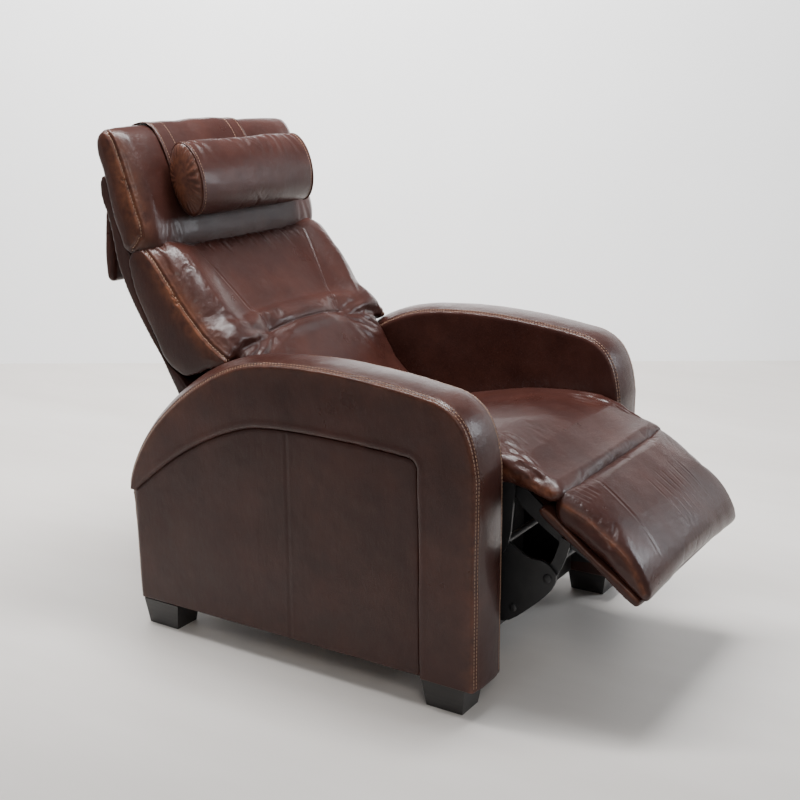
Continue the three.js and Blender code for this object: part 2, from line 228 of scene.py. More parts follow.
def puff(obj, cap, pressure=4.0, pins=None, grow=0.0, frames=20):
    """Inflates a cushion as cloth; no point moves further than cap millimetres."""
    start = coords(obj)
    cloth = obj.modifiers.new("Cloth", "CLOTH")
    s = cloth.settings
    s.quality = 4
    s.mass = 0.4
    s.tension_stiffness = 18
    s.compression_stiffness = 18
    s.shear_stiffness = 8
    s.bending_stiffness = 0.6
    s.use_pressure = True
    s.uniform_pressure_force = pressure
    s.effector_weights.gravity = 0
    s.shrink_min = -grow
    if pins is not None:
        group = obj.vertex_groups.new(name="pin")
        for i in np.nonzero(pins > 0.05)[0]:
            group.add([int(i)], float(min(pins[i], 1.0)), "REPLACE")
        s.vertex_group_mass = "pin"
        s.pin_stiffness = 1.0
    cloth.point_cache.frame_start = 1
    cloth.point_cache.frame_end = frames
    scene = bpy.context.scene
    for f in range(1, frames + 1):
        scene.frame_set(f)
    deps = bpy.context.evaluated_depsgraph_get()
    moved = obj.evaluated_get(deps).to_mesh()
    end = np.empty(len(moved.vertices) * 3)
    moved.vertices.foreach_get("co", end)
    obj.evaluated_get(deps).to_mesh_clear()
    obj.modifiers.clear()
    obj.vertex_groups.clear()
    scene.frame_set(1)
    end = end.reshape(-1, 3)
    step = end - start
    far = np.linalg.norm(step, axis=1, keepdims=True)
    limit = cap / 1000.0
    step *= np.where(far > limit, limit / np.maximum(far, 1e-9), 1.0)
    set_coords(obj, start + step)


# ---- shaping --------------------------------------------------------------
def distance_to(co, path):
    """Each point's distance from a path, and how far along it the nearest point is (0 to 1)."""
    path = np.array([tuple(p) for p in path])
    best = np.full(len(co), 1e9)
    along = np.zeros(len(co))
    total = np.concatenate([[0], np.cumsum(np.linalg.norm(np.diff(path, axis=0), axis=1))])
    for i in range(len(path) - 1):
        a, b = path[i], path[i + 1]
        ab = b - a
        t = np.clip(((co - a) @ ab) / max(ab @ ab, 1e-12), 0, 1)
        d = np.linalg.norm(co - (a + t[:, None] * ab), axis=1)
        near = d < best
        best[near] = d[near]
        along[near] = ((total[i] + t * (total[i + 1] - total[i])) / total[-1])[near]
    return best, along


def crease(obj, path, depth, width, lip=0.0, fade=None):
    """Presses a groove into a surface along a path, in millimetres; lip raises its two sides.

    fade "out" lets it die away towards the path's end, and "ends" towards both ends.
    """
    co, no = coords(obj), normals(obj)
    d, along = distance_to(co, path)
    d = d * 1000.0
    push = -depth * np.exp(-(d / width) ** 2)
    if lip:
        push += lip * np.exp(-((d - 2.2 * width) / (0.9 * width)) ** 2)
    if fade == "out":
        push *= (1 - along) ** 0.7
    if fade == "ends":
        push *= np.sin(np.pi * np.clip(along, 0.0, 1.0)) ** 0.6
    set_coords(obj, co + no * (push / 1000.0)[:, None])


def pull_in(obj, centre, way, depth, radius):
    """Draws the near side of a cushion in along way round a point, as a tuft does."""
    co, no = coords(obj), normals(obj)
    way = np.array(way) / np.linalg.norm(way)
    rel = co - np.array(tuple(centre))
    aside = np.linalg.norm(rel - np.outer(rel @ way, way), axis=1) * 1000.0
    front = (no @ way < 0.0) & (rel @ way < 0.05)
    co += np.outer(np.where(front, depth / 1000.0 * np.exp(-aside / radius), 0.0), way)
    set_coords(obj, co)


def ripple(obj, amount, scale, stretch=(1, 1, 1), seed=0.0, mask=None):
    """Soft unevenness of the padding, in millimetres, with features of a given size."""
    co, no = coords(obj), normals(obj)
    s = np.array(stretch) / (scale / 1000.0)
    off = Vector((seed, seed * 1.7, -seed))
    val = np.array([noise(Vector(p * s) + off) for p in co])
    if mask is not None:
        val = val * mask(co)
    set_coords(obj, co + no * (amount * val / 1000.0)[:, None])


def on_surface(obj, path):
    """The nearest points of an object's surface to a path, and their outward normals."""
    deps = bpy.context.evaluated_depsgraph_get()
    tree = BVHTree.FromObject(obj, deps)
    points, outward = [], []
    for p in path:
        hit, normal, _, _ = tree.find_nearest(Vector(tuple(p)))
        points.append(hit)
        outward.append(normal)
    return points, outward


def cast(obj, points, way):
    """Points dropped onto the object's surface from outside, along way."""
    tree = BVHTree.FromObject(obj, bpy.context.evaluated_depsgraph_get())
    way = Vector(way).normalized()
    found = []
    for p in points:
        hit = tree.ray_cast(Vector(p) - way * 0.25, way)[0]
        found.append(hit if hit is not None else tree.find_nearest(Vector(p))[0])
    return found


def falloff(distance, width):
    """1 at no distance, in metres, and falling away over a width in millimetres."""
    return np.exp(-(distance * 1000 / width) ** 2)


def wear(obj, amount):
    """Adds to how rubbed each point of the leather is, from 0 to 1."""
    stored = obj.data.attributes.get("wear") or obj.data.attributes.new("wear", "FLOAT", "POINT")
    old = np.zeros(len(obj.data.vertices), np.float32)
    stored.data.foreach_get("value", old)
    stored.data.foreach_set("value", np.clip(old + amount, 0, 1).astype(np.float32))


# ---- stitching and piping -------------------------------------------------
def point_at(where, run, values):
    return np.array([np.interp(where, run, values[:, k]) for k in range(3)])


def stitches(name, points, outward, length=5.2, gap=2.4, radius=0.62):
    """A row of raised thread stitches along a line of points, in millimetres."""
    pts = np.array([tuple(p) for p in points])
    nos = np.array([tuple(n) for n in outward])
    steps = np.linalg.norm(np.diff(pts, axis=0), axis=1) * 1000.0
    run = np.concatenate([[0], np.cumsum(steps)])
    verts, faces = [], []
    sides = 6
    profile = ((-0.5, 0.35), (-0.36, 0.95), (0.0, 1.1), (0.36, 0.95), (0.5, 0.35))
    lift = 0.15            # the thread's middle lies this far above the leather
    where = 0.0
    while where + length < run[-1]:
        mid = where + length / 2
        p = point_at(mid, run, pts)
        n = point_at(mid, run, nos)
        n /= max(np.linalg.norm(n), 1e-9)
        t = point_at(where + length, run, pts) - point_at(where, run, pts)
        t /= max(np.linalg.norm(t), 1e-9)
        s = np.cross(t, n)
        first = len(verts)
        for u, r in profile:
            for ang in angles(sides):
                verts.append(p + t * (u * length / 1000.0)
                             + s * (math.cos(ang) * r * radius / 1000.0)
                             + n * ((math.sin(ang) * r * radius + lift) / 1000.0))
        faces += tube_faces(first, len(profile), sides)
        where += length + gap
    return mesh_object(name, verts, faces)


def piping(name, points, radius, sides=10):
    """A thin rolled edge along a closed line of points, radius in millimetres."""
    pts = [Vector(tuple(p)) for p in points]
    n = len(pts)
    up = Vector((0.3, 0.2, 0.93)).normalized()
    verts, faces = [], []
    for i, p in enumerate(pts):
        along = (pts[(i + 1) % n] - pts[i - 1]).normalized()
        side = along.cross(up).normalized()
        other = along.cross(side).normalized()
        for a in angles(sides):
            verts.append(p + (side * math.cos(a) + other * math.sin(a)) * (radius / 1000.0))
        m = (i + 1) % n
        for k in range(sides):
            j = (k + 1) % sides
            faces.append((i * sides + k, i * sides + j, m * sides + j, m * sides + k))
    return mesh_object(name, verts, faces)


# ---- materials ------------------------------------------------------------
def set_inputs(node, **values):
    """Sets a node's inputs; an underscore stands for a space in an input's name."""
    for key, value in values.items():
        node.inputs[key.replace("_", " ")].default_value = value


class Nodes:
    """A small helper that adds and joins shader nodes."""

    def __init__(self, name):
        self.material = bpy.data.materials.new(name)
        self.material.use_nodes = True
        self.tree = self.material.node_tree
        self.tree.nodes.clear()
        self.out = self.add("ShaderNodeOutputMaterial")
        self.shader = self.add("ShaderNodeBsdfPrincipled")
        self.link(self.shader, "BSDF", self.out, "Surface")
        self.place = self.add("ShaderNodeTexCoord")

    def add(self, kind, **settings):
        node = self.tree.nodes.new(kind)
        for key, value in settings.items():
            setattr(node, key, value)
        return node

    def link(self, a, out, b, into):
        self.tree.links.new(a.outputs[out], b.inputs[into])

    def scaled(self, x, y, z):
        node = self.add("ShaderNodeMapping")
        set_inputs(node, Scale=(x, y, z))
        self.link(self.place, "Object", node, "Vector")
        return node

    def noise(self, scale, detail=3.0, rough=0.55, vector=None):
        node = self.add("ShaderNodeTexNoise")
        set_inputs(node, Scale=scale, Detail=detail, Roughness=rough)
        self.link(vector or self.place, "Vector" if vector else "Object", node, "Vector")
        return node

    def ramp(self, source, out, stops):
        node = self.add("ShaderNodeValToRGB")
        items = node.color_ramp.elements
        while len(items) < len(stops):
            items.new(0.5)
        for item, (where, colour) in zip(items, stops):
            item.position = where
            item.color = (*colour, 1.0)
        self.link(source, out, node, "Fac")
        return node

    def grey(self, source, out, lo, hi, a, b):
        """Stretches a value from the range lo to hi into the range a to b."""
        node = self.add("ShaderNodeMapRange")
        set_inputs(node, From_Min=lo, From_Max=hi, To_Min=a, To_Max=b)
        self.link(source, out, node, "Value")
        return node

    def mix(self, factor, fac_out, a, a_out, b, b_out):
        """Mixes two colours, each a tuple or a node's output; sockets 6 and 7 are the colours."""
        node = self.add("ShaderNodeMix", data_type="RGBA")
        if isinstance(factor, float):
            node.inputs[0].default_value = factor
        else:
            self.link(factor, fac_out, node, 0)
        for source, socket, slot in ((a, a_out, 6), (b, b_out, 7)):
            if isinstance(source, tuple):
                node.inputs[slot].default_value = (*source, 1.0)
            else:
                self.link(source, socket, node, slot)
        return node

    def bump(self, source, out, strength, distance, after=None):
        node = self.add("ShaderNodeBump")
        set_inputs(node, Strength=strength, Distance=distance)
        self.link(source, out, node, "Height")
        if after is not None:
            self.link(after, "Normal", node, "Normal")
        return node


def leather(name, dark, mid, warm, worn, wear=0.5, gloss=0.32, grain=0.35):
    """Waxed pull-up leather: cloudy colour, copper wear on edges and folds, painted shade in hollows, fine
    grain.

    wear is how strongly sharp edges show the worn colour; the "wear" attribute adds to it.
    """
    n = Nodes(name)
    cloud = n.noise(5.5, 5.0, 0.6)
    patch = n.noise(17.0, 4.0, 0.65)
    tone = n.ramp(cloud, "Fac", [(0.3, dark), (0.52, mid), (0.74, warm)])
    mottle = n.ramp(patch, "Fac", [(0.35, dark), (0.7, warm)])
    base = n.mix(0.32, None, tone, "Color", mottle, "Color")
    geometry = n.add("ShaderNodeNewGeometry")
    edge = n.grey(geometry, "Pointiness", 0.53, 0.60, 0.0, wear)
    break_up = n.noise(42.0, 4.0, 0.6)
    torn = n.grey(break_up, "Fac", 0.32, 0.62, 0.15, 1.0)
    amount = n.add("ShaderNodeMath", operation="MULTIPLY")
    n.link(edge, "Result", amount, 0)
    n.link(torn, "Result", amount, 1)
    sharp = n.mix(amount, "Value", base, 2, worn, None)
    rubbed = n.add("ShaderNodeAttribute", attribute_name="wear")
    patchy = n.add("ShaderNodeMath", operation="MULTIPLY")
    n.link(rubbed, "Fac", patchy, 0)
    n.link(torn, "Result", patchy, 1)
    worn_mix = n.mix(patchy, "Value", sharp, 2, worn, None)
    # Painted shade: hollows and creases, found by low pointiness, are darkened towards a much darker
    # brown.
    hollow = n.grey(geometry, "Pointiness", 0.36, 0.455, 0.3, 0.0)
    painted_hollow_shade = n.mix(hollow, "Result", worn_mix, 2, tuple(c * 0.45 for c in dark), None)
    n.link(painted_hollow_shade, 2, n.shader, "Base Color")
    rough_noise = n.noise(9.0, 4.0, 0.6)
    rough = n.grey(rough_noise, "Fac", 0.3, 0.7, gloss - 0.06, gloss + 0.09)
    n.link(rough, "Result", n.shader, "Roughness")
    set_inputs(n.shader, IOR=1.38, Specular_IOR_Level=0.45)
    set_inputs(n.shader, Coat_Weight=0.12, Coat_IOR=1.4, Coat_Roughness=0.12)
    cells = n.add("ShaderNodeTexVoronoi", feature="SMOOTH_F1")
    set_inputs(cells, Scale=620.0, Smoothness=0.35)
    warp = n.noise(90.0, 2.0, 0.5)
    bend = n.mix(0.02, None, n.place, "Object", warp, "Color")
    n.link(bend, 2, cells, "Vector")
    pebbles = n.bump(cells, "Distance", grain, 0.0006)
    fine = n.noise(260.0, 4.0, 0.7)
    skin = n.bump(fine, "Fac", 0.12, 0.0008, pebbles)
    lines = n.noise(34.0, 3.0, 0.5, n.scaled(1.0, 2.6, 1.4))
    soft = n.bump(lines, "Fac", 0.16, 0.004, skin)
    n.link(soft, "Normal", n.shader, "Normal")
    return n.material


def plain(name, colour, rough, metal=0.0, scale=60.0, vary=0.25, bump=0.1):
    """Painted, moulded or drawn surfaces: slight change of shade, sheen and texture."""
    n = Nodes(name)
    mott = n.noise(scale * 0.2, 3.0, 0.6)
    tint = n.ramp(mott, "Fac", [(0.3, tuple(c * (1 - vary) for c in colour)),
                                (0.7, tuple(min(c * (1 + vary), 1) for c in colour))])
    n.link(tint, "Color", n.shader, "Base Color")
    r = n.grey(n.noise(scale * 0.6), "Fac", 0.3, 0.7, max(rough - 0.07, 0.05), rough + 0.08)
    n.link(r, "Result", n.shader, "Roughness")
    set_inputs(n.shader, Metallic=metal)
    n.link(n.bump(n.noise(scale * 8, 4.0), "Fac", bump, 0.0006), "Normal", n.shader, "Normal")
    return n.material


def wood(name, light, dark, rough=0.6, coat=0.0):
    n = Nodes(name)
    grain = n.noise(22.0, 6.0, 0.6, n.scaled(6.0, 0.5, 6.0))
    tone = n.ramp(grain, "Fac", [(0.3, dark), (0.7, light)])
    n.link(tone, "Color", n.shader, "Base Color")
    set_inputs(n.shader, Roughness=rough, Coat_Weight=coat)
    n.link(n.bump(grain, "Fac", 0.2, 0.0008), "Normal", n.shader, "Normal")
    return n.material


def cloth(name, colour):
    n = Nodes(name)
    weave = n.add("ShaderNodeTexWave")
    set_inputs(weave, Scale=320.0, Distortion=1.2)
    n.link(n.place, "Object", weave, "Vector")
    tone = n.ramp(weave, "Fac", [(0.2, tuple(c * 0.6 for c in colour)), (0.8, colour)])
    n.link(tone, "Color", n.shader, "Base Color")
    set_inputs(n.shader, Roughness=0.92, Sheen_Weight=0.15)
    n.link(n.bump(weave, "Fac", 0.3, 0.0005), "Normal", n.shader, "Normal")
    return n.material


DARK = (0.027, 0.0082, 0.0062)
MID = (0.042, 0.0140, 0.0105)
WARM = (0.066, 0.0215, 0.0150)
COPPER = (0.24, 0.086, 0.040)
LEATHER = leather("leather_main", DARK, MID, WARM, COPPER, wear=0.3)
LEATHER_PANEL = leather("leather_panel", DARK, (0.036, 0.0115, 0.0080), (0.056, 0.0185, 0.0125),
                        COPPER, wear=0.25, gloss=0.40)
THREAD = plain("thread", (0.40, 0.25, 0.165), 0.6, scale=400, bump=0.4)
BLACK_STEEL = plain("black_steel", (0.011, 0.011, 0.012), 0.5, scale=80)
BRIGHT_STEEL = plain("bright_steel", (0.55, 0.56, 0.58), 0.3, 1.0, scale=120, vary=0.08)
BLACK_PLASTIC = plain("black_plastic", (0.02, 0.02, 0.021), 0.5, scale=150, bump=0.2)
GREY_PLASTIC = plain("grey_plastic", (0.36, 0.37, 0.39), 0.4, scale=120, vary=0.06)
PLYWOOD = wood("plywood", (0.55, 0.40, 0.25), (0.36, 0.24, 0.14))
FOOT_WOOD = wood("foot_wood", (0.022, 0.019, 0.018), (0.010, 0.009, 0.009), 0.4, 0.2)
LINING = cloth("lining", (0.014, 0.014, 0.015))


def finish_piece(obj, material, body, slot, *nodes, fill=None):
    obj.data.materials.clear()
    obj.data.materials.append(material)
    if body:
        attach(obj, body)
    if nodes:
        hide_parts(*nodes)
    return obj


# ---- arms -----------------------------------------------------------------
def bezier(p0, p1, p2, p3, n=24):
    """Points on a cubic curve from p0 to p3 that leaves towards p1 and arrives from p2."""
    t = np.linspace(0, 1, n)[:, None]
    p0, p1, p2, p3 = (np.array(p, float) for p in (p0, p1, p2, p3))
    return (1 - t) ** 3 * p0 + 3 * (1 - t) ** 2 * t * p1 + 3 * (1 - t) * t ** 2 * p2 + t ** 3 * p3


def arm_line(count):
    """The arm's outline from the front at the floor, over the top, to the rear at the floor."""
    parts = [
        np.array([(0, ARM_BOTTOM), (0, 500)], float),
        bezier((0, 500), (9, 564), (20, 620), (90, 638)),
        bezier((90, 638), (204, 658), (468, 690), (600, 626)),
        bezier((600, 626), (704, 577), (843, 470), (880, 334)),
        np.array([(880, 334), (875, ARM_BOTTOM)], float),
    ]
    return resample(np.concatenate(parts), count)


def groove_line(count):
    """The inner edge of the raised band round the outer panel."""
    parts = [
        np.array([(120, ARM_BOTTOM), (123, 381), (126, 496)], float),
        bezier((126, 496), (127, 516), (136, 519), (155, 521)),
        bezier((155, 521), (280, 530), (430, 536), (522, 523)),
        bezier((522, 523), (610, 505), (735, 445), (872, 322)),
    ]
    return resample(np.concatenate(parts), count)


def inward_of(line):
    """Unit vectors square to a line, pointing in or down when it runs from front to rear."""
    d = np.gradient(line, axis=0)
    d /= np.linalg.norm(d, axis=1, keepdims=True)
    return np.stack([d[:, 1], -d[:, 0]], axis=1)


def arm_rings(side):
    """Outlines across the arm: crowned between its seams, and fuller over the rear top."""
    line = arm_line(170)
    inward = inward_of(line)
    half = (ARM_OUTER - ARM_INNER) / 2
    centre = (ARM_OUTER + ARM_INNER) / 2
    rings = []
    for u in np.sin(np.linspace(-np.pi / 2, np.pi / 2, 41)):
        corner = max(abs(u) - 0.93, 0) / 0.07
        crown = ARM_CROWN * (1 - abs(u) ** 2.2) - 3.5 * (1 - math.sqrt(max(1 - corner ** 2, 0)))
        rear = ARM_REAR_CROWN * (1 - abs(u) ** 2.4) * np.clip((line[:, 0] - 440) / 200, 0, 1)
        pts = line - inward * (crown + rear * np.clip((line[:, 1] - 200) / 150, 0, 1))[:, None]
        pts[:, 1] = np.maximum(pts[:, 1], ARM_BOTTOM)
        rings.append([at(side * (centre + u * half), y, z) for y, z in pts])
    return rings


def sink_panel(skin, side):
    """Lowers the field inside the raised band, where the separate panel lies."""
    co = coords(skin)
    groove = groove_line(160)
    flat = co.copy()
    flat[:, 0] = side * ARM_OUTER / 1000.0
    d, _ = distance_to(flat, [at(side * ARM_OUTER, y, z) for y, z in groove])
    y, z = co[:, 1] * 1000 + FRONT, co[:, 2] * 1000
    inside = z < np.interp(y, groove[:, 0], groove[:, 1])
    inside &= y > 121
    d = d * 1000.0 * np.where(inside, 1.0, -1.0)
    fall = np.clip(d / 4.5 + 0.3, 0, 1)
    sink = PANEL_DEPTH * fall - 1.0 * np.exp(-((d + 9) / 6.0) ** 2)
    outer = side * co[:, 0] > (ARM_OUTER - 22) / 1000.0
    co[:, 0] -= side * np.where(outer, sink, 0.0) / 1000.0
    set_coords(skin, co)


def build_arm(label, side):
    skin = loft(f"{label}_arm_skin", arm_rings(side))
    remesh(skin, 4.2, 2)
    sink_panel(skin, side)
    ripple(skin, 1.3, 130, seed=side * 3.1)
    ripple(skin, 0.5, 45, seed=side * 5.7 + 2)
    line = arm_line(260)
    for x in (ARM_OUTER - 9, ARM_INNER + 9):
        path, _ = on_surface(skin, [at(side * x, y, z) for y, z in line if z > ARM_BOTTOM + 4])
        crease(skin, path, 1.3, 3.0, lip=0.9)
    edge = [at(side * (ARM_OUTER - 2), y, z) for y, z in line]
    d, _ = distance_to(coords(skin), edge)
    wear(skin, 0.12 * falloff(d, 8.0) + 0.10 * falloff(d, 26.0))
    finish_piece(skin, LEATHER, "base", "leather", f"{label}_arm_cover", fill=0.9)
    arm_panel(label, side)
    for row, x in enumerate((ARM_OUTER - 15, ARM_OUTER - 6.5, ARM_INNER + 6.5, ARM_INNER + 15)):
        pts, nos = on_surface(skin, [at(side * x, y, z) for y, z in arm_line(420) if z > ARM_BOTTOM + 5])
        thread = stitches(f"{label}_arm_stitch_{row + 1}", pts, nos)
        finish_piece(thread, THREAD, "base", "leather")


def arm_panel(label, side):
    """The flatter panel on the outside of the arm, a little below the band round it."""
    groove = groove_line(150)
    foot_line = ARM_BOTTOM + 3
    outline = np.concatenate([groove[groove[:, 1] > foot_line], [(870, foot_line), (122, foot_line)]])
    outline = resample(np.concatenate([outline, outline[:1]]), 240, closed=True)
    inward = -ring_normals(outline)
    rings = []
    for x, inset in ((13.0, 1.0), (8.0, 1.0), (5.0, 2.0), (3.8, 4.5), (3.2, 9.0)):
        rings.append([at(side * (ARM_OUTER - x), y, z) for y, z in outline + inward * inset])
    panel = loft(f"{label}_panel_skin", rings)
    remesh(panel, 4.2, 1)
    ripple(panel, 1.4, 140, seed=side * 2.2 + 1)
    ripple(panel, 0.4, 30, seed=side * 2.9 + 5)
    seam, _ = on_surface(panel, [at(side * (ARM_OUTER - 2), 440, z) for z in range(66, 530, 8)])
    crease(panel, seam, 1.1, 3.0, lip=0.5)
    finish_piece(panel, LEATHER_PANEL, "base", "leather_side", f"{label}_outer_panel", fill=0.9)


# ---- cushions -------------------------------------------------------------
def cushion(name, ring, half, round_side, crown=0.0, face=(0, 1), count=140, stations=40):
    """A crowned pad: a closed side outline carried across, drawn in at its ends."""
    base = spline(ring, count, closed=True)
    out = ring_normals(base)
    facing = np.clip(out @ np.array(face, float) / np.linalg.norm(face), 0, 1) ** 0.8
    rings = []
    for u in np.linspace(-1, 1, stations):
        t = min(half * (1 - abs(u)) / round_side, 1.0)
        pull = round_side * 0.8 * (1 - math.sqrt(max(1 - (1 - t) ** 2, 0)))
        lift = crown * (1 - abs(u) ** 2.4)
        pts = base + out * (facing * lift - pull)[:, None]
        rings.append([at(u * half, y, z) for y, z in pts])
    return loft(name, rings)


def boxed(name, middle, edge, half, profile, stations=64, count=170):
    """A cushion with side walls: its outline goes from edge, at the wall, to middle."""
    middle, edge = np.array(middle, float), np.array(edge, float)
    where, fill = zip(*profile)
    rings = []
    for u in np.sin(np.linspace(-np.pi / 2, np.pi / 2, stations)):
        ring = spline(edge + (middle - edge) * np.interp(abs(u), where, fill), count, closed=True)
        rings.append([at(u * half, y, z) for y, z in ring])
    return loft(name, rings)


def swell_walls(obj, edge, half, bulge):
    """Rounds the side walls outwards a little, away from their seams."""
    ring = spline(edge, 90, closed=True)
    co = coords(obj)
    for side in (-1, 1):
        wall = side * co[:, 0] > (half - 2.5) / 1000.0
        path = [at(side * half, y, z) for y, z in np.concatenate([ring, ring[:1]])]
        d, _ = distance_to(co[wall], path)
        co[wall, 0] += side * bulge / 1000.0 * (1 - np.exp(-d * 1000 / 16.0))
    set_coords(obj, co)


def wall_seam(obj, name, line, half, body):
    """The double-stitched seam along a cushion's front edge, on both sides."""
    for label, side in SIDES:
        path = spline(line, 90)
        edge = [at(side * half, y, z) for y, z in path]
        d, along = distance_to(coords(obj), edge)
        rubbed = 0.2 * falloff(d, 7.0) + 0.5 * falloff(d, 26.0)
        wear(obj, rubbed * (0.3 + 0.7 * np.sin(np.pi * along)))
        inboard, _ = on_surface(obj, [at(side * (half - 9), y, z) for y, z in path])
        crease(obj, inboard, 1.8, 3.2, lip=1.4)
        for row, x in enumerate((half - 5.5, half - 13.5)):
            pts, nos = on_surface(obj, [at(side * x, y, z) for y, z in spline(line, 220)])
            thread = stitches(f"{label}_{name}_stitch_{row + 1}", pts, nos)
            finish_piece(thread, THREAD, body, "leather")


SEAT_RING = [
    (-123, 444), (-120, 456), (-72, 469), (-40, 482), (0, 502), (34, 512), (69, 515), (143, 513),
    (247, 494), (360, 467), (440, 447), (474, 436), (486, 400), (480, 345), (400, 356), (250, 385),
    (60, 421), (26, 432), (18, 456), (-10, 462), (-37, 456), (-78, 440), (-100, 434), (-114, 440),
]
PAD_RING = [
    (-104, 401), (-104, 446), (-112, 457), (-132, 450), (-162, 433), (-208, 401), (-256, 362),
    (-284, 325), (-298, 294), (-299, 277), (-290, 267), (-200, 329), (-150, 365),
]
BOARD_RING = [
    (-79, 423), (-180, 350), (-285, 273), (-284, 264), (-276, 260), (-170, 337), (-70, 410), (-71, 418),
]
WING_MIDDLE = [
    (655, 655), (655, 640), (672, 626), (700, 611), (770, 583), (800, 592), (828, 612), (854, 655),
    (882, 704), (906, 750), (918, 790), (922, 832), (908, 856), (880, 871), (838, 866), (784, 819),
    (740, 768), (702, 717), (670, 696), (656, 676),
]
WING_EDGE = [
    (653, 629), (661, 619), (680, 612), (704, 606), (770, 583), (800, 592), (828, 612), (854, 655),
    (882, 704), (906, 750), (918, 790), (922, 832), (905, 850), (878, 849), (850, 824), (816, 780),
    (774, 728), (731, 684), (699, 657), (669, 639),
]
WING_PROFILE = [
    (0, 0.50), (0.45, 0.52), (0.6, 0.62), (0.74, 0.85), (0.83, 0.92), (0.92, 0.65), (0.97, 0.35), (1, 0),
]
WING_SEAM = [
    (654, 629), (669, 639), (699, 657), (731, 684), (774, 728), (816, 780), (850, 824), (878, 849),
]
WAIST_RING = [
    (492, 424), (500, 452), (530, 484), (574, 524), (612, 580), (648, 634), (688, 690), (760, 700),
    (806, 650), (780, 606), (712, 552), (644, 496), (596, 452), (574, 430), (556, 410), (520, 408),
]
HEAD_MIDDLE = [
    (932, 840), (880, 824), (852, 842), (848, 875), (864, 942), (880, 1000), (902, 1056), (928, 1100),
    (958, 1116), (984, 1112), (999, 1090), (998, 1060), (986, 1028), (974, 985), (959, 920), (942, 878),
]
HEAD_EDGE = [
    (932, 854), (910, 856), (890, 878), (887, 898), (903, 945), (923, 1000), (943, 1054), (958, 1088),
    (972, 1104), (988, 1101), (999, 1084), (998, 1058), (987, 1028), (975, 985), (960, 920), (943, 878),
]
HEAD_PROFILE = [(0, 1), (0.5, 0.98), (0.75, 0.92), (0.9, 0.78), (0.97, 0.45), (1, 0)]
HEAD_SEAM = [
    (914, 853), (890, 878), (887, 898), (903, 945), (923, 1000), (943, 1054), (958, 1088), (972, 1104),
]
SHELL_RING = [
    (768, 545), (797, 586), (826, 607), (879, 703), (914, 785), (920, 834), (930, 862), (952, 915),
    (966, 985), (974, 1005), (984, 1013), (995, 1010), (1002, 988), (998, 957), (986, 927),
    (977, 892), (964, 826), (949, 782), (923, 730), (885, 670), (847, 615), (812, 556), (790, 524),
]
POUCH_RING = [
    (1083, 922), (1092, 925), (1099, 920), (1108, 860), (1110, 790), (1106, 754), (1096, 748),
    (1087, 754), (1082, 790), (1080, 860),
]
FACE = (0, 0.75, -0.66)        # into the back, from in front of it
DOWN = (0, 0, -1)
SEAT_FOLDS = (                 # each from (x, y) to (x, y), on both sides of the seat
    ((168, 64), (190, 4)), ((206, 44), (226, -22)), ((236, 18), (240, -52)),
    ((256, -14), (254, -80)), ((186, 88), (212, 30)), ((222, 74), (246, 16)),
)


def build_seat():
    """The seat with its flap: lower at the front's middle, folded and pleated at its sides."""
    obj = cushion("seat_cushion_soft", SEAT_RING, SEAT_HALF, 9, crown=8, face=(0, 1))
    co = coords(obj)
    front = np.clip((-20 - (co[:, 1] * 1000 + FRONT)) / 80, 0, 1)
    co[:, 2] -= 0.0065 * front * (1 - np.abs(co[:, 0] / 0.27).clip(0, 1) ** 2.4)
    set_coords(obj, co)
    remesh(obj, 5, 3)
    puff(obj, 10, pressure=2.0)
    apply(obj, "SUBSURF", levels=1)
    ripple(obj, 2.2, 170, seed=4)
    ripple(obj, 0.7, 60, seed=9)
    for side in (-1, 1):
        for first, last in SEAT_FOLDS:
            middle = ((first[0] + last[0]) / 2 - 5, (first[1] + last[1]) / 2)
            line = spline([first, middle, last], 16)
            path = cast(obj, [at(side * x, y, 560) for x, y in line], DOWN)
            crease(obj, path, 2.4, 5.0, lip=1.9, fade="ends")
        for y in range(-100, 20, 8):
            foot_z = 444 + (y + 100) * 0.12
            line = [at(side * 269, y + k * 1.1, foot_z + k * 1.8) for k in range(0, 13, 2)]
            path, _ = on_surface(obj, line)
            crease(obj, path, 1.3, 2.6, lip=0.4, fade="ends")
    d, _ = distance_to(coords(obj), [at(s, y, z) for s, y, z in ((-270, 15, 480), (-270, -95, 455))])
    wear(obj, 0.45 * falloff(d, 13.0))
    finish_piece(obj, LEATHER, None, "leather", "seat_cushion", "knee_flap", fill=0.85)
    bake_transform(obj)


def pad_crease(pad, points, count, depth, width, lip):
    """One fine crease on the legrest pad, through (x, y) points seen from above."""
    path = cast(pad, [at(x, y, 500) for x, y in spline(points, count)], DOWN)
    crease(pad, path, depth, width, lip=lip, fade="ends")


